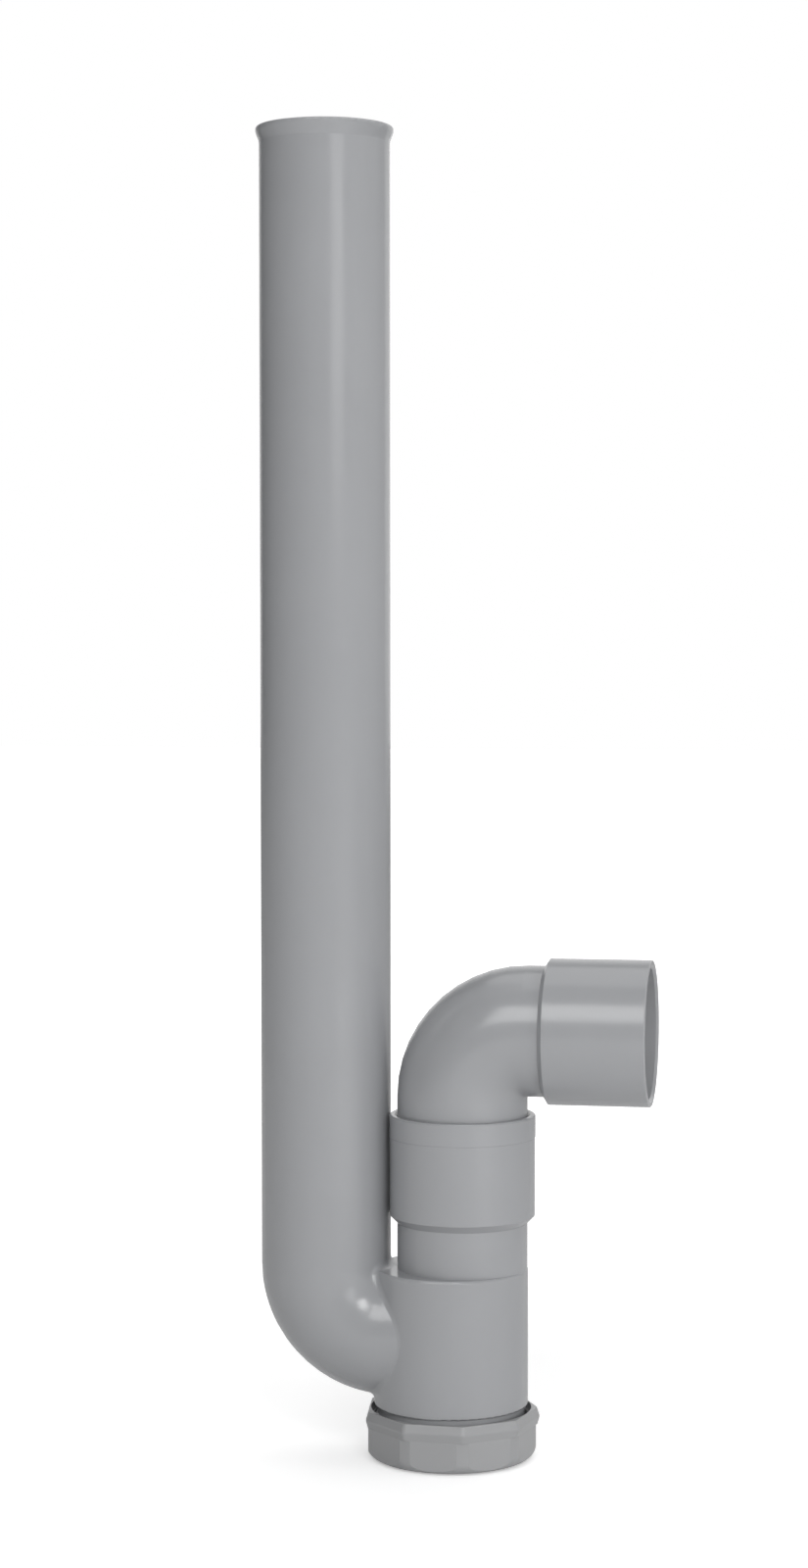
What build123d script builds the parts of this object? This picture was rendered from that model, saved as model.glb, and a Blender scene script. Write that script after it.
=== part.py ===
from build123d import *
import os

# Washing machine trap for a 40 mm waste pipe, in grey PVC: a moulding that holds the standpipe, the
# cleaning body and the riser, an outlet elbow plugged into the riser's socket, and a screw cap with
# its gasket under the cleaning body.
# Millimetres, +Z up. The origin is the centre of the cap's flat bottom, on the cleaning body's axis.
# +X points out of the outlet socket, and the standpipe stands on the -X side.

# Pipe
pipe_od = 40.0
pipe_wall = 2.2

# Sockets, alike on the riser and on the outlet
socket_wall = 2.2
socket_fit = 0.08               # radial clearance round a spigot
socket_length = 31.0            # length of the full outer diameter
socket_stop = 3.0               # from the foot of that diameter up to the ledge inside
mouth_chamfer = 0.8             # lead-in inside the mouth
riser_socket_shoulder = 2.3     # sloping step under the riser's socket
outlet_socket_shoulder = 1.5
bead_height = 7.0               # thickened band at the mouth of the riser's socket
bead_proud = 0.15
spigot_chamfer = 0.8
edge_round = 0.4                # rounded outer edges of mouths and shoulders

# Cleaning body and the neck under it
body_growth = 3.65              # cleaning body's side outside the pipe's, all round
body_wall = 2.2
body_top_wall = 2.0
neck_step = 1.0                 # root of the neck's thread inside the body's side
neck_chamfer = 0.6
neck_bare = 1.1                 # neck left showing between the cap and the body's full diameter
body_foot_round = 0.6
shoulder_round = 0.8
leg_round = 2.0                 # inside corner where the level leg and its bend meet the body
riser_inset = 0.15              # riser's side inside the body's side, where they are nearly flush

# Cleaning cap
cap_sides = 9
cap_turn = 7.0                  # turn of the corners about the axis, degrees
cap_floor = 2.5
cap_height = 15.0
thread_room = 1.15              # between the roots of the neck's and the cap's threads
cap_mouth_step = 0.85           # wider mouth above the thread
cap_mouth_depth = 2.4
cap_wall = 1.35                 # outside the thread's root, at the middle of a flat
grip_corner_proud = 1.0         # turned outside of the grip's corners, outside its flats
cap_edge_round = 3.4            # round the bottom edge
rim_proud = 0.6                 # rim at the cap's mouth, outside the grip's flats
rim_corner_round = 2.8
rim_under_slope = 2.2           # rim's lower slope, upright band and upper slope, from below
rim_band = 0.5
rim_slope = 2.4
rim_under_taper = 15.0          # degrees
rim_taper = 18.0

# Gasket in the cap's floor
gasket_thickness = 2.0
gasket_width = 3.0
gasket_fit = 0.3                # radial clearance in the cap
gasket_chamfer = 0.3

# Layout: the standpipe's height is above the cap's flat bottom
standpipe_height = 406.8
pipe_gap = 2.65                 # between the standpipe and the riser
leg_clearance = 3.25            # between the cap's rim and the level leg above it
lower_crotch = 0.5              # radius on the inside of the lower bend
shoulder_cover = 0.1            # flat top of the cleaning body above the level leg
riser_rise = 16.4               # from that flat top to the full diameter of the riser's socket
bare_spigot = 5.6               # straight pipe between the riser's socket and the elbow's bend
outlet_crotch = 0.3             # radius on the inside of the outlet elbow
outlet_neck = 5.4               # straight pipe between the bend and the outlet socket's shoulder

# Lip at the top of the standpipe
lip_proud = 1.1                 # lip's side outside the pipe's
lip_height = 5.0
lip_edge = 0.8                  # rounded top edge
mouth_round = 1.0               # inside the standpipe's mouth

# Worked out from the sizes above
pipe_r = pipe_od / 2
bore_r = pipe_r - pipe_wall
socket_bore_r = pipe_r + socket_fit
socket_r = socket_bore_r + socket_wall
body_r = pipe_r + body_growth
neck_r = body_r - neck_step
neck_end = cap_floor + gasket_thickness
neck_top = cap_height + neck_bare
cap_bore_r = neck_r + thread_room
cap_mouth_r = cap_bore_r + cap_mouth_step
grip_r = cap_bore_r + cap_wall
grip_corner_r = grip_r + grip_corner_proud
rim_r = grip_r + rim_proud
riser_x = body_r - pipe_r - riser_inset
standpipe_x = riser_x - pipe_od - pipe_gap
lower_axis_height = cap_height + leg_clearance + pipe_r
lip_r = pipe_r + lip_proud
shoulder_height = lower_axis_height + pipe_r + shoulder_cover
riser_socket_height = shoulder_height + riser_rise
lower_bend_r = pipe_r + lower_crotch
outlet_bend_r = pipe_r + outlet_crotch
riser_socket_foot = riser_socket_height - riser_socket_shoulder
riser_socket_mouth = riser_socket_height + socket_length
riser_ledge = riser_socket_height + socket_stop
outlet_axis_height = riser_socket_mouth + bare_spigot + outlet_bend_r
outlet_socket_foot = riser_x + outlet_bend_r + outlet_neck
outlet_ledge_x = outlet_socket_foot + outlet_socket_shoulder + socket_stop

body_axis = Axis.Z
standpipe_axis = Axis((standpipe_x, 0, 0), (0, 0, 1))
riser_axis = Axis((riser_x, 0, 0), (0, 0, 1))
outlet_axis = Axis((0, 0, outlet_axis_height), (1, 0, 0))


def section_plane(x, height):
    """Half-section plane about an upright axis: radius along its X, height along its Y."""
    return Plane(origin=(x, 0, height), x_dir=(1, 0, 0), z_dir=(0, -1, 0))


def inlet_run(radius):
    """Round bar down the standpipe, round the lower bend and level into the cleaning body."""
    with BuildPart() as run:
        with BuildLine(Plane.XZ) as route:
            down = Line((standpipe_x, standpipe_height), (standpipe_x, lower_axis_height + lower_bend_r))
            turn = JernArc(start=down @ 1, tangent=down % 1, radius=lower_bend_r, arc_size=90)
            Line(turn @ 1, (0, lower_axis_height))
        with BuildSketch(Plane(origin=(standpipe_x, 0, standpipe_height))):
            Circle(radius)
        sweep(path=route.wire())
    return run.part


def outlet_run(radius, end_x):
    """Round bar up the riser's socket, round the outlet elbow and level out to end_x."""
    with BuildPart() as run:
        with BuildLine(Plane.XZ) as route:
            up = Line((riser_x, riser_ledge), (riser_x, outlet_axis_height - outlet_bend_r))
            turn = JernArc(start=up @ 1, tangent=up % 1, radius=outlet_bend_r, arc_size=-90)
            Line(turn @ 1, (end_x, outlet_axis_height))
        with BuildSketch(Plane(origin=(riser_x, 0, riser_ledge))):
            Circle(radius)
        sweep(path=route.wire())
    return run.part


def socket_section(plane, shoulder):
    """Half section of a socket from the foot of its sloping shoulder to its mouth."""
    mouth = shoulder + socket_length
    ledge = shoulder + socket_stop
    with BuildSketch(plane) as section:
        with BuildLine():
            foot = Line((bore_r, 0), (pipe_r, 0))
            slope = Line(foot @ 1, (socket_r, shoulder))
            side = Line(slope @ 1, (socket_r, mouth - edge_round))
            edge = JernArc(start=side @ 1, tangent=side % 1, radius=edge_round, arc_size=90)
            face = Line(edge @ 1, (socket_bore_r + mouth_chamfer, mouth))
            lead_in = Line(face @ 1, (socket_bore_r, mouth - mouth_chamfer))
            bore = Line(lead_in @ 1, (socket_bore_r, ledge))
            stop = Line(bore @ 1, (bore_r, ledge))
            Line(stop @ 1, foot @ 0)
        make_face()
    return section.sketch


def cap_outline(plane, turn, flat_r, corner_round):
    """Outline of the cap's grip or rim: a rounded polygon, flat_r from its axis to a flat."""
    with BuildSketch(plane) as outline:
        RegularPolygon(flat_r, cap_sides, major_radius=False, rotation=turn, align=None)
        if corner_round > 0:
            fillet(outline.vertices(), radius=corner_round)
    return outline.sketch


os.makedirs("parts", exist_ok=True)

# Trap body: standpipe, lower bend, cleaning body with its neck, riser and riser socket in one moulding
with BuildPart() as trap_body:
    add(inlet_run(pipe_r))

    # Lip turned out at the top of the standpipe
    with BuildSketch(section_plane(standpipe_x, standpipe_height)):
        with BuildLine():
            root = Line((bore_r, 0), (bore_r, -lip_height))
            under = Line(root @ 1, (pipe_r, -lip_height))
            flare = Spline(under @ 1, (lip_r, -lip_edge), tangents=((0, 1), (0, 1)))
            edge = JernArc(start=flare @ 1, tangent=(0, 1), radius=lip_edge, arc_size=90)
            Line(edge @ 1, root @ 0)
        make_face()
    revolve(axis=standpipe_axis)

    # Cleaning body and neck
    with BuildSketch(section_plane(0, 0)):
        with BuildLine():
            end = Line((0, neck_end), (neck_r - neck_chamfer, neck_end))
            bevel = Line(end @ 1, (neck_r, neck_end + neck_chamfer))
            neck = Line(bevel @ 1, (neck_r, neck_top))
            step = Line(neck @ 1, (body_r - body_foot_round, neck_top))
            foot = JernArc(start=step @ 1, tangent=step % 1, radius=body_foot_round, arc_size=90)
            side = Line(foot @ 1, (body_r, shoulder_height - shoulder_round))
            edge = JernArc(start=side @ 1, tangent=side % 1, radius=shoulder_round, arc_size=90)
            top = Line(edge @ 1, (0, shoulder_height))
            Line(top @ 1, end @ 0)
        make_face()
    revolve(axis=body_axis)
    meeting = trap_body.edges().filter_by(GeomType.BSPLINE)
    meeting = meeting.filter_by_position(Axis.Z, cap_height, shoulder_height - shoulder_round)
    fillet(meeting, radius=leg_round)

    # Riser and its socket
    with BuildSketch(Plane(origin=(riser_x, 0, lower_axis_height))):
        Circle(pipe_r)
    extrude(amount=riser_socket_foot - lower_axis_height)
    riser_section = socket_section(section_plane(riser_x, riser_socket_foot), riser_socket_shoulder)
    revolve(riser_section, axis=riser_axis)
    with BuildSketch(section_plane(riser_x, riser_socket_mouth)):
        with BuildLine():
            Polyline(
                (socket_r - edge_round, -edge_round),
                (socket_r - edge_round, -bead_height),
                (socket_r, -bead_height),
                (socket_r + bead_proud, bead_proud - bead_height),
                (socket_r + bead_proud, -edge_round),
                close=True,
            )
        make_face()
    revolve(axis=riser_axis)

    # Waterway
    add(inlet_run(bore_r), mode=Mode.SUBTRACT)
    with BuildSketch(Plane.XY.offset(neck_end)):
        Circle(body_r - body_wall)
    extrude(amount=shoulder_height - body_top_wall - neck_end, mode=Mode.SUBTRACT)
    with BuildSketch(Plane(origin=(riser_x, 0, lower_axis_height))):
        Circle(bore_r)
    extrude(amount=riser_ledge - lower_axis_height, mode=Mode.SUBTRACT)

    mouth_edge = trap_body.edges().group_by(Axis.Z)[-1].sort_by(SortBy.LENGTH)[0]
    fillet(mouth_edge, radius=mouth_round)
trap_body.part.label = "trap_body"
export_step(trap_body.part, "parts/trap_body.step")

# Outlet elbow: plain spigot, bend and outlet socket in one moulding
with BuildPart() as outlet_elbow:
    add(outlet_run(pipe_r, outlet_socket_foot))
    spigot_edge = outlet_elbow.edges().group_by(Axis.Z)[0]
    chamfer(spigot_edge, length=spigot_chamfer)
    outlet_plane = Plane(
        origin=(outlet_socket_foot, 0, outlet_axis_height), x_dir=(0, 0, 1), z_dir=(0, 1, 0)
    )
    revolve(socket_section(outlet_plane, outlet_socket_shoulder), axis=outlet_axis)
    add(outlet_run(bore_r, outlet_ledge_x), mode=Mode.SUBTRACT)
outlet_elbow.part.label = "outlet_elbow"
export_step(outlet_elbow.part, "parts/outlet_elbow.step")

# Cleaning cap: nine-sided grip turned round at its corners and bottom edge, and a proud rim at the mouth
with BuildPart() as cleaning_cap:
    rim_height = cap_height - rim_slope - rim_band
    with BuildSketch(section_plane(0, 0)):
        with BuildLine():
            floor = Line((0, 0), (grip_corner_r - cap_edge_round, 0))
            edge = JernArc(start=floor @ 1, tangent=floor % 1, radius=cap_edge_round, arc_size=90)
            side = Line(edge @ 1, (grip_corner_r, rim_height))
            top = Line(side @ 1, (0, rim_height))
            Line(top @ 1, floor @ 0)
        make_face()
    revolve(axis=body_axis)
    grip_face = cap_outline(Plane.XY, cap_turn, grip_r, 0)
    extrude(grip_face, amount=rim_height, mode=Mode.INTERSECT)

    # Rim: lower slope, upright band and upper slope
    rim_face = cap_outline(Plane.XY.offset(rim_height), cap_turn, rim_r, rim_corner_round)
    extrude(rim_face, amount=rim_band)
    rim_top = cap_outline(Plane.XY.offset(rim_height + rim_band), cap_turn, rim_r, rim_corner_round)
    extrude(rim_top, amount=rim_slope, taper=rim_taper)
    underside = Plane(origin=(0, 0, rim_height), x_dir=(1, 0, 0), z_dir=(0, 0, -1))
    rim_under = cap_outline(underside, -cap_turn, rim_r, rim_corner_round)
    extrude(rim_under, amount=rim_under_slope, taper=rim_under_taper)

    # Bore with the thread's root, and the wider mouth above it
    with BuildSketch(Plane.XY.offset(cap_floor)):
        Circle(cap_bore_r)
    extrude(amount=cap_height - cap_floor, mode=Mode.SUBTRACT)
    with BuildSketch(Plane.XY.offset(cap_height - cap_mouth_depth)):
        Circle(cap_mouth_r)
    extrude(amount=cap_mouth_depth, mode=Mode.SUBTRACT)
cleaning_cap.part.label = "cleaning_cap"
export_step(cleaning_cap.part, "parts/cleaning_cap.step")

# Gasket: flat ring on the cap's floor, under the end of the neck
with BuildPart() as cap_gasket:
    gasket_r = cap_bore_r - gasket_fit
    with BuildSketch(Plane.XY.offset(cap_floor)):
        Circle(gasket_r)
        Circle(gasket_r - gasket_width, mode=Mode.SUBTRACT)
    extrude(amount=gasket_thickness)
    chamfer(cap_gasket.edges().filter_by(GeomType.CIRCLE), length=gasket_chamfer)
cap_gasket.part.label = "cap_gasket"
export_step(cap_gasket.part, "parts/cap_gasket.step")
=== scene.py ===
import math

import bpy
from bpy.props import FloatProperty, FloatVectorProperty, IntProperty, PointerProperty
from mathutils import Matrix, Vector


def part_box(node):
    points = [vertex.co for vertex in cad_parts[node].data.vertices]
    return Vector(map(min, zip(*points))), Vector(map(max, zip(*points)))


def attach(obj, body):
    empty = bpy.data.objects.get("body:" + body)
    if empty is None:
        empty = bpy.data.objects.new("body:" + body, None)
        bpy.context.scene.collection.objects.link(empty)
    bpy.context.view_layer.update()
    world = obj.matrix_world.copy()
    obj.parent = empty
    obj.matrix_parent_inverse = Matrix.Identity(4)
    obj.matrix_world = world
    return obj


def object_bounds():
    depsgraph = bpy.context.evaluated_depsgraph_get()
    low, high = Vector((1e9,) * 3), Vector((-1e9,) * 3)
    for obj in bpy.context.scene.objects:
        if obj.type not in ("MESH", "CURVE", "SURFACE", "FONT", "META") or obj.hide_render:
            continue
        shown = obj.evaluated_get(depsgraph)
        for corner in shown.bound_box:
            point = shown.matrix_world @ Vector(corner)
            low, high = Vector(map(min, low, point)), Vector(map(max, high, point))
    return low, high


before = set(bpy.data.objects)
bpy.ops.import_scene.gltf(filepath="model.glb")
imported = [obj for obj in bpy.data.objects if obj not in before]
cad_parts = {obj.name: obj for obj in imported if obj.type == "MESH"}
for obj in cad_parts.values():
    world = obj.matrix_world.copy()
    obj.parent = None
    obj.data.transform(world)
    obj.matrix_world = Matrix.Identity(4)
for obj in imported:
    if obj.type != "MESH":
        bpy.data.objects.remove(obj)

bl_info = {
    "name": "Washing Machine Trap",
    "version": (1, 0, 0),
    "blender": (4, 5, 0),
    "location": "View3D > Sidebar > Trap",
    "description": "Dresses a washing machine trap: its plastics, screw threads and studio",
    "category": "Object",
}

CAD_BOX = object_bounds()

TRAP_PVC, ELBOW_PVC, CAP_PVC = "Trap PVC", "Elbow PVC", "Cap PVC"
GASKET_RUBBER = "Gasket rubber"

# Moulded skin. Here and below, noise scales are in features a metre, and lengths in metres.
PEBBLE_SCALE, CLOUD_SCALE, RIPPLE_SCALE = 1400.0, 22.0, 140.0
RIPPLE_SHARE = 0.7
CLOUD_RANGE = (0.3, 0.7)
CLOUD_SPAN = (-1.0, 1.0)

# Handling marks. The two runs of hairlines have a turn, and a scale along each axis.
SCRATCH_RUNS = (
    ((0.3, 0.2, 0.5), (900.0, 900.0, 26.0)),
    ((0.9, 1.1, 0.2), (34.0, 1000.0, 800.0)),
)
SCRATCH_RANGE = (0.69, 0.76)
SCRATCH_DEPTH, SCRATCH_STRENGTH = 0.000012, 0.6
HANDLED_SCALE, HANDLED_RANGE = 38.0, (0.45, 0.65)
SCUFF_SCALE, SCUFF_RANGE = 75.0, (0.56, 0.74)
SCUFF_TONE, SCUFF_ROUGHNESS = 1.03, 0.10
MARKS_AMOUNT = 0.3

# Upright lines: they start at a foot above the cap's bottom and fade in over a height.
LINES_STRETCH = (1500.0, 1500.0, 4.0)
LINES_FOOT, LINES_FADE = 0.07, 0.02

# Parting line, and how far and how often it strays to either side.
SEAM_HALF_WIDTH = 0.0002
SEAM_WANDER, SEAM_WANDER_SCALE = 0.00004, 60.0

# Gloss of the plastics, and the rubber with its pale bloom.
PVC_IOR = 1.54
ROUGHNESS_SPREAD = 0.03
RUBBER_PEBBLE_SCALE, RUBBER_CLOUD_SCALE = 2600.0, 60.0
RUBBER_ROUGHNESS = (0.62, 0.78)
RUBBER_DEPTH, RUBBER_STRENGTH = 0.000015, 0.8
BLOOM_TONE, BLOOM_START = 2.4, -0.2

# Thread ridges. Their ends keep a small share of the height.
CREST_SEGMENTS = 3
END_HEIGHT = 0.02
HELIX_TOLERANCE = 0.01
MERGE_DISTANCE = 0.000001
SMOOTH_ANGLE = math.radians(40)

# Floor, with its glow for the camera at two distances from the trap, and the camera's sensor.
FLOOR_SIZE = 12.0
FLOOR_WHITE, FLOOR_ROUGHNESS = 0.90, 0.9
FLOOR_GLOW, FLOOR_GLOW_REACH = (0.45, 1.0), (0.1, 1.2)
SENSOR_WIDTH = 36.0
WHITE = (1.0, 1.0, 1.0, 1.0)

# Where the surroundings change, along X and along Y of the direction that is looked in.
SKY_ACROSS, SKY_FAR_RIGHT, SKY_BEHIND = (-0.9, 0.6), (0.6, 0.95), (0.65, 0.92)

# Name, place, point that it faces, width and height, power's setting, whether it shows in gloss.
SOFTBOXES = (
    ("Top softbox", (-0.45, -2.13, 1.75), (0.0, 0.0, 0.13), (1.15, 1.25), "top_power", True),
    ("Key softbox", (0.72, -2.01, 1.59), (-0.024, 0.0, 0.05), (0.70, 0.65), "key_power", True),
    ("Side softbox", (0.911, -1.409, 0.59), (-0.04, 0.0, 0.59), (0.64, 0.34), "side_power", True),
    ("Overhead softbox", (0.0, 0.42, 1.30), (0.0, 0.42, 0.0), (1.2, 1.1), "overhead_power", True),
    ("Low fill", (0.50, -0.55, 0.09), (0.02, 0.0, 0.08), (0.4, 0.15), "fill_power", False),
)


class TrapPlasticSettings(bpy.types.PropertyGroup):
    """Colours and surface of the plastics and the rubber"""

    pvc_colour: FloatVectorProperty(
        name="Trap colour", description="Grey PVC of the trap and its outlet elbow",
        subtype="COLOR", size=3, min=0.0, max=1.0, default=(0.352, 0.358, 0.371))
    cap_colour: FloatVectorProperty(
        name="Cap colour", description="Grey PVC of the cleaning cap, a shade warmer",
        subtype="COLOR", size=3, min=0.0, max=1.0, default=(0.352, 0.355, 0.362))
    rubber_colour: FloatVectorProperty(
        name="Gasket colour", description="Black rubber of the cap's gasket",
        subtype="COLOR", size=3, min=0.0, max=1.0, default=(0.018, 0.018, 0.019))
    pvc_roughness: FloatProperty(
        name="Trap roughness", description="Roughness of the trap's moulded skin",
        min=0.0, max=1.0, default=0.21)
    cap_roughness: FloatProperty(
        name="Cap roughness", description="Roughness of the cap's moulded skin",
        min=0.0, max=1.0, default=0.32)
    tone_shift: FloatProperty(
        name="Tone shift", description="How far cloudy patches lighten or darken the plastic",
        min=0.0, max=0.2, default=0.018)
    skin_height: FloatProperty(
        name="Skin height", description="Height of the fine pebbling in the moulded skin",
        subtype="DISTANCE", unit="LENGTH", default=0.000006)
    seam_height: FloatProperty(
        name="Parting line height",
        description="Height of the fine ridge where the mould's halves meet",
        subtype="DISTANCE", unit="LENGTH", default=0.00003)
    line_height: FloatProperty(
        name="Upright line height",
        description="Height of the faint upright lines in the standpipe's skin",
        subtype="DISTANCE", unit="LENGTH", default=0.000004)


class TrapThreadSettings(bpy.types.PropertyGroup):
    """Sizes of the screw thread between the neck and the cleaning cap"""

    pitch: FloatProperty(
        name="Pitch", description="Rise of the thread in one turn",
        subtype="DISTANCE", unit="LENGTH", default=0.004)
    neck_root: FloatProperty(
        name="Neck root radius",
        description="Radius at which the neck's ridge is rooted, inside the neck's skin",
        subtype="DISTANCE", unit="LENGTH", default=0.02255)
    neck_crest: FloatProperty(
        name="Neck crest radius", description="Outer radius of the neck's ridge",
        subtype="DISTANCE", unit="LENGTH", default=0.02345)
    cap_root: FloatProperty(
        name="Cap root radius",
        description="Radius at which the cap's ridge is rooted, inside the cap's wall",
        subtype="DISTANCE", unit="LENGTH", default=0.0239)
    cap_crest: FloatProperty(
        name="Cap crest radius", description="Inner radius of the cap's ridge",
        subtype="DISTANCE", unit="LENGTH", default=0.0230)
    root_width: FloatProperty(
        name="Root width", description="Width of a ridge at its root",
        subtype="DISTANCE", unit="LENGTH", default=0.0019)
    crest_width: FloatProperty(
        name="Crest width", description="Width of a ridge at its crest",
        subtype="DISTANCE", unit="LENGTH", default=0.0008)
    crest_round: FloatProperty(
        name="Crest rounding", description="Size of the rounding on both corners of a crest",
        subtype="DISTANCE", unit="LENGTH", default=0.00028)
    start_height: FloatProperty(
        name="Start height", description="Height of the middle of the neck's ridge where it starts",
        subtype="DISTANCE", unit="LENGTH", default=0.0064)
    neck_turns: FloatProperty(
        name="Neck turns", description="Turns of the neck's ridge",
        min=0.5, max=4.0, default=1.75)
    cap_turns: FloatProperty(
        name="Cap turns", description="Turns of the cap's ridge", min=0.5, max=4.0, default=0.9)
    run_out: FloatProperty(
        name="Run-out", description="Part of a turn in which a ridge fades away at each end",
        min=0.01, max=0.25, default=0.12)
    steps: IntProperty(
        name="Steps", description="Sections of a ridge in one turn", min=24, max=256, default=96)


class TrapStageSettings(bpy.types.PropertyGroup):
    """Camera, lamps and floor"""

    image_height: IntProperty(
        name="Image height", description="Height of the picture in pixels", default=1600)
    focal_pixels: FloatProperty(
        name="Focal length", description="Focal length in pixels of the picture", default=3174.5)
    camera_place: FloatVectorProperty(
        name="Camera place", description="Where the camera stands",
        subtype="TRANSLATION", unit="LENGTH", size=3, default=(0.15587, -0.93615, 0.25156))
    camera_pan: FloatProperty(
        name="Camera pan", description="Turn to the left of straight back",
        subtype="ANGLE", unit="ROTATION", default=math.radians(10.322))
    camera_tilt: FloatProperty(
        name="Camera tilt", description="Angle below the level",
        subtype="ANGLE", unit="ROTATION", default=math.radians(2.694))
    camera_roll: FloatProperty(
        name="Camera roll", description="Turn about the line of sight",
        subtype="ANGLE", unit="ROTATION", default=math.radians(-0.045))
    floor_drop: FloatProperty(
        name="Floor drop", description="How far the floor lies under the cap",
        subtype="DISTANCE", unit="LENGTH", default=0.0005)
    top_power: FloatProperty(
        name="Top lamp power", description="Power of the softbox above the camera",
        subtype="POWER", unit="POWER", default=18.5)
    key_power: FloatProperty(
        name="Key lamp power", description="Power of the smaller softbox high on the right",
        subtype="POWER", unit="POWER", default=12.5)
    side_power: FloatProperty(
        name="Side lamp power", description="Power of the softbox on the right",
        subtype="POWER", unit="POWER", default=1.65)
    overhead_power: FloatProperty(
        name="Overhead lamp power", description="Power of the softbox above and behind the trap",
        subtype="POWER", unit="POWER", default=4.8)
    fill_power: FloatProperty(
        name="Fill lamp power",
        description="Power of the low fill lamp, which doesn't show in gloss",
        subtype="POWER", unit="POWER", default=0.9)
    sky_left: FloatProperty(
        name="Left surroundings", description="Brightness of the surroundings on the left",
        min=0.0, max=2.0, default=0.0)
    sky_right: FloatProperty(
        name="Right surroundings", description="Brightness of the surroundings on the right",
        min=0.0, max=2.0, default=0.33)
    sky_far_right: FloatProperty(
        name="Far right surroundings",
        description="Brightness added to the surroundings at the far right",
        min=0.0, max=3.0, default=0.42)
    sky_behind: FloatProperty(
        name="Backdrop", description="Brightness of the surroundings behind the trap",
        min=0.0, max=2.0, default=1.0)


def deselect():
    """Leave object mode with nothing selected."""
    if bpy.context.object and bpy.context.object.mode != "OBJECT":
        bpy.ops.object.mode_set(mode="OBJECT")
    bpy.ops.object.select_all(action="DESELECT")


def new_material(name):
    """Empty node material with a Principled surface. Returns the material, tree and shader."""
    material = bpy.data.materials.new(name)
    material.use_nodes = True
    tree = material.node_tree
    tree.nodes.clear()
    shader = tree.nodes.new("ShaderNodeBsdfPrincipled")
    output = tree.nodes.new("ShaderNodeOutputMaterial")
    tree.links.new(shader.outputs["BSDF"], output.inputs["Surface"])
    return material, tree, shader


def add_node(tree, kind, inputs=None, **settings):
    """A node with its settings and the values or links of its inputs, by name or number."""
    node = tree.nodes.new(kind)
    for key, value in settings.items():
        setattr(node, key, value)
    for key, value in (inputs or {}).items():
        socket = node.inputs[key]
        if isinstance(value, bpy.types.NodeSocket):
            tree.links.new(value, socket)
        else:
            socket.default_value = value
    return node


def add_noise(tree, vector, scale, detail, roughness=0.5, distortion=0.0):
    """Cloudy noise between 0 and 1."""
    return add_node(tree, "ShaderNodeTexNoise", {
        "Vector": vector, "Scale": scale, "Detail": detail, "Roughness": roughness,
        "Distortion": distortion}).outputs["Fac"]


def add_range(tree, value, span, result=(0.0, 1.0), curve="LINEAR"):
    """A value brought from one span to another, and kept inside it."""
    return add_node(tree, "ShaderNodeMapRange", {
        "Value": value, "From Min": span[0], "From Max": span[1],
        "To Min": result[0], "To Max": result[1]}, interpolation_type=curve).outputs["Result"]


def add_math(tree, operation, *values, clamp=False):
    """The result of one step of arithmetic."""
    return add_node(tree, "ShaderNodeMath", dict(enumerate(values)),
                    operation=operation, use_clamp=clamp).outputs[0]


def add_colour_mix(tree, share, first, second):
    """The first colour, with a share of the second in it."""
    return add_node(tree, "ShaderNodeMix", {0: share, 6: first, 7: second},
                    data_type="RGBA").outputs[2]


def add_bump(tree, distance, height, strength=1.0, invert=False, **more):
    """A normal that follows a height of so many metres. More may hold an earlier Normal."""
    return add_node(tree, "ShaderNodeBump", {
        "Strength": strength, "Distance": distance, "Height": height, **more},
        invert=invert).outputs["Normal"]


def rgba(colour, tone=1.0):
    """A colour made lighter or darker, with full alpha."""
    return tuple(part * tone for part in colour) + (1.0,)


def moulded_skin(group, given):
    """Fine pebbling and cloudy tone of a moulded skin, on object coordinates in metres."""
    place = given["Vector"]
    pebbles = add_noise(group, place, given["Pebble scale"], detail=3.0, roughness=0.55)
    ripple = add_noise(group, place, RIPPLE_SCALE, detail=1.0, roughness=0.4)
    clouds = add_noise(group, place, given["Cloud scale"], detail=4.0, distortion=0.6)
    return {"Height": add_math(group, "MULTIPLY_ADD", ripple, RIPPLE_SHARE, pebbles),
            "Cloud": add_range(group, clouds, CLOUD_RANGE, CLOUD_SPAN)}


def handling_marks(group, given):
    """Hairline scratches and small scuffs left by handling, as masks from 0 to 1."""
    masks = []
    for turn, scale in SCRATCH_RUNS:
        turned = add_node(group, "ShaderNodeMapping", {
            "Vector": given["Vector"], "Rotation": turn, "Scale": scale}).outputs["Vector"]
        streaks = add_noise(group, turned, scale=1.0, detail=2.0)
        masks.append(add_range(group, streaks, SCRATCH_RANGE))
    places = add_noise(group, given["Vector"], HANDLED_SCALE, detail=2.0)
    handled = add_range(group, places, HANDLED_RANGE, (0.0, given["Amount"]))
    rubs = add_noise(group, given["Vector"], SCUFF_SCALE, detail=6.0, roughness=0.7)
    scratched = add_math(group, "MAXIMUM", *masks)
    scuffed = add_range(group, rubs, SCUFF_RANGE)
    return {"Scratches": add_math(group, "MULTIPLY", scratched, handled),
            "Scuffs": add_math(group, "MULTIPLY", scuffed, handled)}


def upright_lines(group, given):
    """Faint upright lines in the skin left of an edge, fading in above a foot."""
    parts = add_node(group, "ShaderNodeSeparateXYZ", {0: given["Vector"]}).outputs
    stretched = add_node(group, "ShaderNodeMapping", {
        "Vector": given["Vector"], "Scale": LINES_STRETCH}).outputs["Vector"]
    lines = add_noise(group, stretched, scale=1.0, detail=1.0)
    above = add_math(group, "SUBTRACT", parts["Z"], given["Foot"])
    rise = add_math(group, "DIVIDE", above, given["Fade"], clamp=True)
    beside = add_math(group, "LESS_THAN", parts["X"], given["Edge"])
    on_pipe = add_math(group, "MULTIPLY", rise, beside)
    return {"Lines": add_math(group, "MULTIPLY", lines, on_pipe)}


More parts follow.
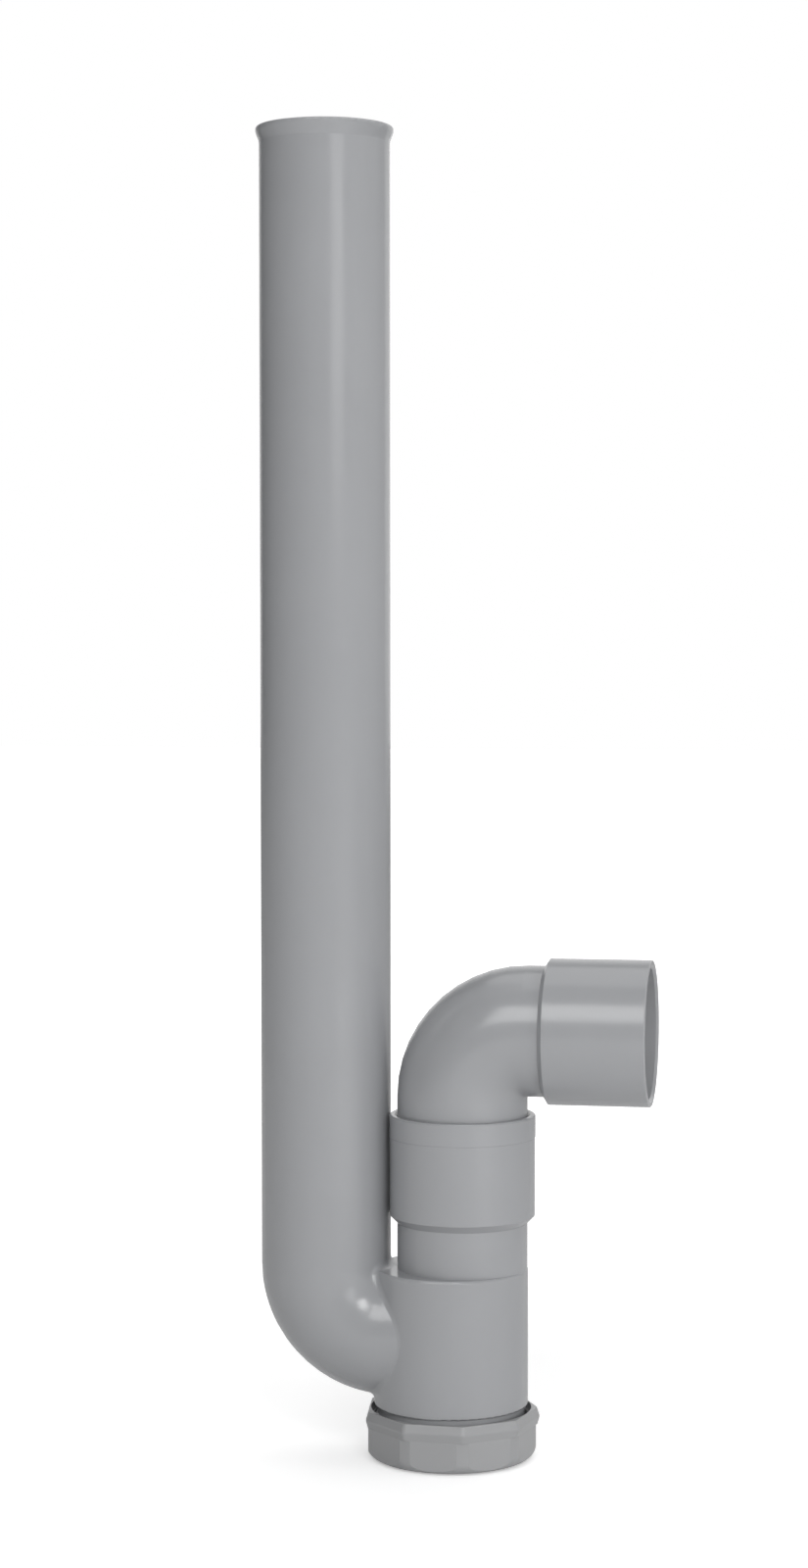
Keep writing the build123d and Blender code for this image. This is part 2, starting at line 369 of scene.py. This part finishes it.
def parting_line(group, given):
    """Fine ridge where the two halves of the mould meet, in the plane Y = 0: 1 on the ridge."""
    wander = add_noise(group, given["Vector"], SEAM_WANDER_SCALE, detail=2.0)
    shift = add_math(group, "MULTIPLY_ADD", wander, 2 * SEAM_WANDER, -SEAM_WANDER)
    parts = add_node(group, "ShaderNodeSeparateXYZ", {0: given["Vector"]}).outputs
    away = add_math(group, "ABSOLUTE", add_math(group, "ADD", parts["Y"], shift))
    return {"Ridge": add_range(group, away, (0.0, given["Half width"]), (1.0, 0.0), "SMOOTHSTEP")}


# What makes each shared effect, its inputs beside Vector with their defaults, and its results.
EFFECTS = {
    "Moulded skin": (
        moulded_skin, {"Pebble scale": PEBBLE_SCALE, "Cloud scale": CLOUD_SCALE},
        ("Height", "Cloud")),
    "Handling marks": (handling_marks, {"Amount": MARKS_AMOUNT}, ("Scratches", "Scuffs")),
    "Upright lines": (
        upright_lines, {"Edge": 0.0, "Foot": LINES_FOOT, "Fade": LINES_FADE}, ("Lines",)),
    "Parting line": (parting_line, {"Half width": SEAM_HALF_WIDTH}, ("Ridge",)),
}


def effect_group(name):
    """The node group of a shared effect, built the first time that it is asked for."""
    if name in bpy.data.node_groups:
        return bpy.data.node_groups[name]
    build, inputs, results = EFFECTS[name]
    group = bpy.data.node_groups.new(name, "ShaderNodeTree")
    sockets = group.interface
    sockets.new_socket(name="Vector", in_out="INPUT", socket_type="NodeSocketVector")
    for label, default in inputs.items():
        socket = sockets.new_socket(name=label, in_out="INPUT", socket_type="NodeSocketFloat")
        socket.default_value = default
    for label in results:
        sockets.new_socket(name=label, in_out="OUTPUT", socket_type="NodeSocketFloat")
    given = group.nodes.new("NodeGroupInput").outputs
    output = group.nodes.new("NodeGroupOutput")
    for label, socket in build(group, given).items():
        group.links.new(socket, output.inputs[label])
    return group


def add_effect(tree, name, place, **inputs):
    """The results of a shared effect, placed in a material with its own values."""
    values = {key.replace("_", " ").capitalize(): value for key, value in inputs.items()}
    return add_node(tree, "ShaderNodeGroup", {"Vector": place, **values},
                    node_tree=effect_group(name)).outputs


def pvc_material(name, colour, roughness, plastics, pipe_edge=None, parted=False):
    """Grey moulded PVC.

    With pipe_edge, the skin left of that X has the standpipe's upright lines. With parted, it
    has the ridge of a mould that opens along Y.
    """
    material, tree, shader = new_material(name)
    place = add_node(tree, "ShaderNodeTexCoord").outputs["Object"]
    skin = add_effect(tree, "Moulded skin", place)
    marks = add_effect(tree, "Handling marks", place)

    cloud = add_range(tree, skin["Cloud"], CLOUD_SPAN)
    tone = add_colour_mix(tree, cloud, rgba(colour, 1.0 - plastics.tone_shift),
                          rgba(colour, 1.0 + plastics.tone_shift))
    scuffed = add_colour_mix(tree, marks["Scuffs"], tone, rgba(colour, SCUFF_TONE))
    tree.links.new(scuffed, shader.inputs["Base Color"])

    dull = add_range(tree, skin["Cloud"], CLOUD_SPAN,
                     (roughness - ROUGHNESS_SPREAD, roughness + ROUGHNESS_SPREAD))
    rubbed = add_math(tree, "MULTIPLY_ADD", marks["Scuffs"], SCUFF_ROUGHNESS, dull)
    tree.links.new(rubbed, shader.inputs["Roughness"])

    normal = add_bump(tree, plastics.skin_height, skin["Height"])
    normal = add_bump(tree, SCRATCH_DEPTH, marks["Scratches"], SCRATCH_STRENGTH, invert=True,
                      Normal=normal)
    if pipe_edge is not None:
        lines = add_effect(tree, "Upright lines", place, edge=pipe_edge)
        normal = add_bump(tree, plastics.line_height, lines["Lines"], Normal=normal)
    if parted:
        seam = add_effect(tree, "Parting line", place)
        normal = add_bump(tree, plastics.seam_height, seam["Ridge"], Normal=normal)
    tree.links.new(normal, shader.inputs["Normal"])
    shader.inputs["IOR"].default_value = PVC_IOR
    return material


def rubber_material(name, colour):
    """Matt black rubber with a bloom of pale dust."""
    material, tree, shader = new_material(name)
    place = add_node(tree, "ShaderNodeTexCoord").outputs["Object"]
    skin = add_effect(tree, "Moulded skin", place,
                      pebble_scale=RUBBER_PEBBLE_SCALE, cloud_scale=RUBBER_CLOUD_SCALE)
    bloom = add_range(tree, skin["Cloud"], (BLOOM_START, 1.0))
    tone = add_colour_mix(tree, bloom, rgba(colour), rgba(colour, BLOOM_TONE))
    tree.links.new(tone, shader.inputs["Base Color"])
    dull = add_range(tree, skin["Cloud"], CLOUD_SPAN, RUBBER_ROUGHNESS)
    tree.links.new(dull, shader.inputs["Roughness"])
    normal = add_bump(tree, RUBBER_DEPTH, skin["Height"], RUBBER_STRENGTH)
    tree.links.new(normal, shader.inputs["Normal"])
    return material


def put_material(obj, material):
    """Give an object one material on all of its faces."""
    if not obj.data.materials:
        obj.data.materials.append(material)
    for index in range(len(obj.data.materials)):
        obj.data.materials[index] = material


class TRAP_OT_finish_plastics(bpy.types.Operator):
    """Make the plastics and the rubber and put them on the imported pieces"""

    bl_idname = "trap.finish_plastics"
    bl_label = "Finish the plastics"

    def execute(self, context):
        plastics = context.scene.trap_plastics
        elbow_low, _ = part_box("outlet_elbow")
        skin = (plastics.pvc_colour, plastics.pvc_roughness, plastics)
        materials = {
            "trap_body": pvc_material(TRAP_PVC, *skin, pipe_edge=elbow_low.x, parted=True),
            "outlet_elbow": pvc_material(ELBOW_PVC, *skin, parted=True),
            "cleaning_cap": pvc_material(
                CAP_PVC, plastics.cap_colour, plastics.cap_roughness, plastics),
            "cap_gasket": rubber_material(GASKET_RUBBER, plastics.rubber_colour),
        }
        for node, material in materials.items():
            put_material(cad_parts[node], material)
        return {"FINISHED"}


def thread_ridge(name, threads, root, crest, start, turns):
    """Right-handed helical ridge about the Z axis between two radii, faded at both ends."""
    deselect()
    half_root, half_crest = threads.root_width / 2, threads.crest_width / 2
    bpy.ops.mesh.primitive_plane_add(size=1.0, location=(0, 0, 0))
    ridge = bpy.context.object
    ridge.name = name
    corners = [(root, -half_root), (crest, -half_crest), (crest, half_crest), (root, half_root)]
    for number, (radius, height) in zip(ridge.data.polygons[0].vertices, corners):
        vertex = ridge.data.vertices[number]
        vertex.co = (radius, 0.0, start + height)
        vertex.select = radius == crest
    bpy.ops.object.mode_set(mode="EDIT")
    bpy.ops.mesh.select_mode(type="VERT")
    bpy.ops.mesh.bevel(offset=threads.crest_round, segments=CREST_SEGMENTS, affect="VERTICES")
    bpy.ops.object.mode_set(mode="OBJECT")
    points = len(ridge.data.vertices)

    steps = round(turns * threads.steps)
    screw = ridge.modifiers.new("Helix", "SCREW")
    screw.axis = "Z"
    screw.angle = turns * math.tau
    screw.screw_offset = turns * threads.pitch
    screw.steps = screw.render_steps = steps
    bpy.ops.object.modifier_apply(modifier=screw.name)

    fade_steps = threads.run_out * threads.steps
    for number, vertex in enumerate(ridge.data.vertices):
        step = number // points
        turned = math.atan2(vertex.co.y, vertex.co.x) - math.tau * step * turns / steps
        if abs(math.remainder(turned, math.tau)) > HELIX_TOLERANCE:
            raise RuntimeError(f"{name}: section {step} isn't where the helix puts it")
        rise = min(step, steps - step) / fade_steps
        height = END_HEIGHT + (1.0 - END_HEIGHT) * min(rise, 1.0) ** 0.5
        radius = vertex.co.xy.length
        vertex.co.xy *= (root + (radius - root) * height) / radius
    bpy.ops.object.mode_set(mode="EDIT")
    bpy.ops.mesh.select_all(action="SELECT")
    bpy.ops.mesh.remove_doubles(threshold=MERGE_DISTANCE)
    bpy.ops.mesh.fill_holes(sides=0)
    bpy.ops.mesh.select_all(action="SELECT")
    bpy.ops.mesh.normals_make_consistent(inside=False)
    bpy.ops.object.mode_set(mode="OBJECT")
    bpy.ops.object.shade_smooth_by_angle(angle=SMOOTH_ANGLE)
    return ridge


class TRAP_OT_add_threads(bpy.types.Operator):
    """Model the ridge on the neck and the ridge in the cap that make the screw thread"""

    bl_idname = "trap.add_threads"
    bl_label = "Add the threads"

    def execute(self, context):
        threads = context.scene.trap_threads
        neck = thread_ridge("neck_thread", threads, threads.neck_root, threads.neck_crest,
                            threads.start_height, threads.neck_turns)
        put_material(neck, bpy.data.materials[TRAP_PVC])
        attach(neck, "trap")
        cap = thread_ridge("cap_thread", threads, threads.cap_root, threads.cap_crest,
                           threads.start_height + threads.pitch / 2, threads.cap_turns)
        put_material(cap, bpy.data.materials[CAP_PVC])
        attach(cap, "cap")
        return {"FINISHED"}


def add_softbox(name, place, target, size, power, glossy):
    """Rectangular area lamp at a place, facing a target. Without glossy, gloss doesn't show it."""
    data = bpy.data.lights.new(name, "AREA")
    data.shape = "RECTANGLE"
    data.size, data.size_y = size
    data.energy = power
    lamp = bpy.data.objects.new(name, data)
    bpy.context.scene.collection.objects.link(lamp)
    lamp.location = place
    lamp.rotation_euler = (Vector(target) - Vector(place)).to_track_quat("-Z", "Y").to_euler()
    lamp.visible_glossy = glossy


def studio_world(stage):
    """White to the camera. To all else, dark on the left, brighter on the right and behind."""
    world = bpy.data.worlds.new("Studio")
    bpy.context.scene.world = world
    world.use_nodes = True
    tree = world.node_tree
    tree.nodes.clear()
    output = tree.nodes.new("ShaderNodeOutputWorld")
    direction = add_node(tree, "ShaderNodeTexCoord").outputs["Generated"]
    parts = add_node(tree, "ShaderNodeSeparateXYZ", {0: direction}).outputs
    across = add_range(tree, parts["X"], SKY_ACROSS, (stage.sky_left, stage.sky_right),
                       "SMOOTHSTEP")
    far_right = add_range(tree, parts["X"], SKY_FAR_RIGHT, (0.0, stage.sky_far_right),
                          "SMOOTHSTEP")
    sides = add_math(tree, "ADD", across, far_right)
    behind = add_range(tree, parts["Y"], SKY_BEHIND, curve="SMOOTHSTEP")
    around = add_node(tree, "ShaderNodeMix", {0: behind, 2: sides, 3: stage.sky_behind},
                      data_type="FLOAT").outputs[0]
    soft = add_node(tree, "ShaderNodeBackground", {"Color": WHITE, "Strength": around})
    white = add_node(tree, "ShaderNodeBackground", {"Color": WHITE, "Strength": 1.0})
    rays = add_node(tree, "ShaderNodeLightPath")
    mixed = add_node(tree, "ShaderNodeMixShader", {
        0: rays.outputs["Is Camera Ray"], 1: soft.outputs[0], 2: white.outputs[0]})
    tree.links.new(mixed.outputs[0], output.inputs["Surface"])


def floor_material():
    """Pale floor that keeps the shadow and looks whiter to the camera the further it lies."""
    material, tree, shader = new_material("Pale floor")
    shader.inputs["Base Color"].default_value = (FLOOR_WHITE, FLOOR_WHITE, FLOOR_WHITE, 1.0)
    shader.inputs["Roughness"].default_value = FLOOR_ROUGHNESS
    shader.inputs["Specular IOR Level"].default_value = 0.0
    place = add_node(tree, "ShaderNodeTexCoord").outputs["Object"]
    away = add_node(tree, "ShaderNodeVectorMath", {0: place}, operation="LENGTH").outputs["Value"]
    glow = add_range(tree, away, FLOOR_GLOW_REACH, FLOOR_GLOW)
    rays = add_node(tree, "ShaderNodeLightPath").outputs
    shine = add_math(tree, "MULTIPLY", rays["Is Camera Ray"], glow)
    shader.inputs["Emission Color"].default_value = WHITE
    tree.links.new(shine, shader.inputs["Emission Strength"])
    return material


class TRAP_OT_build_stage(bpy.types.Operator):
    """Set up the camera, the lamps, the surroundings and the floor"""

    bl_idname = "trap.build_stage"
    bl_label = "Build the stage"

    def execute(self, context):
        stage = context.scene.trap_stage
        deselect()
        floor_height = CAD_BOX[0].z - stage.floor_drop
        bpy.ops.mesh.primitive_plane_add(size=FLOOR_SIZE, location=(0, 0, floor_height))
        floor = bpy.context.object
        floor.name = "floor"
        put_material(floor, floor_material())

        data = bpy.data.cameras.new("Camera")
        data.sensor_width = SENSOR_WIDTH
        data.lens = stage.focal_pixels * data.sensor_width / stage.image_height
        camera = bpy.data.objects.new("Camera", data)
        context.scene.collection.objects.link(camera)
        camera.matrix_world = (
            Matrix.Translation(stage.camera_place)
            @ Matrix.Rotation(stage.camera_pan, 4, "Z")
            @ Matrix.Rotation(math.pi / 2 - stage.camera_tilt, 4, "X")
            @ Matrix.Rotation(stage.camera_roll, 4, "Z"))
        context.scene.camera = camera

        for name, place, target, size, power, glossy in SOFTBOXES:
            add_softbox(name, place, target, size, getattr(stage, power), glossy)
        studio_world(stage)
        context.scene.view_settings.view_transform = "Standard"
        return {"FINISHED"}


class TRAP_PT_panel(bpy.types.Panel):
    """Settings and buttons that dress the trap"""

    bl_idname = "TRAP_PT_panel"
    bl_label = "Washing Machine Trap"
    bl_space_type = "VIEW_3D"
    bl_region_type = "UI"
    bl_category = "Trap"

    def draw(self, context):
        layout = self.layout
        scene = context.scene
        for settings in (scene.trap_plastics, scene.trap_threads, scene.trap_stage):
            box = layout.box()
            for key in settings.__annotations__:
                box.prop(settings, key)
        for operator in OPERATORS:
            layout.operator(operator.bl_idname)


SETTINGS = (TrapPlasticSettings, TrapThreadSettings, TrapStageSettings)
OPERATORS = (TRAP_OT_finish_plastics, TRAP_OT_add_threads, TRAP_OT_build_stage)
CLASSES = (*SETTINGS, *OPERATORS, TRAP_PT_panel)


def register():
    for cls in CLASSES:
        bpy.utils.register_class(cls)
    bpy.types.Scene.trap_plastics = PointerProperty(type=TrapPlasticSettings)
    bpy.types.Scene.trap_threads = PointerProperty(type=TrapThreadSettings)
    bpy.types.Scene.trap_stage = PointerProperty(type=TrapStageSettings)


def unregister():
    del bpy.types.Scene.trap_stage
    del bpy.types.Scene.trap_threads
    del bpy.types.Scene.trap_plastics
    for cls in reversed(CLASSES):
        bpy.utils.unregister_class(cls)


def main():
    register()
    bpy.ops.trap.finish_plastics()
    bpy.ops.trap.add_threads()
    bpy.ops.trap.build_stage()


if __name__ == "__main__":
    main()
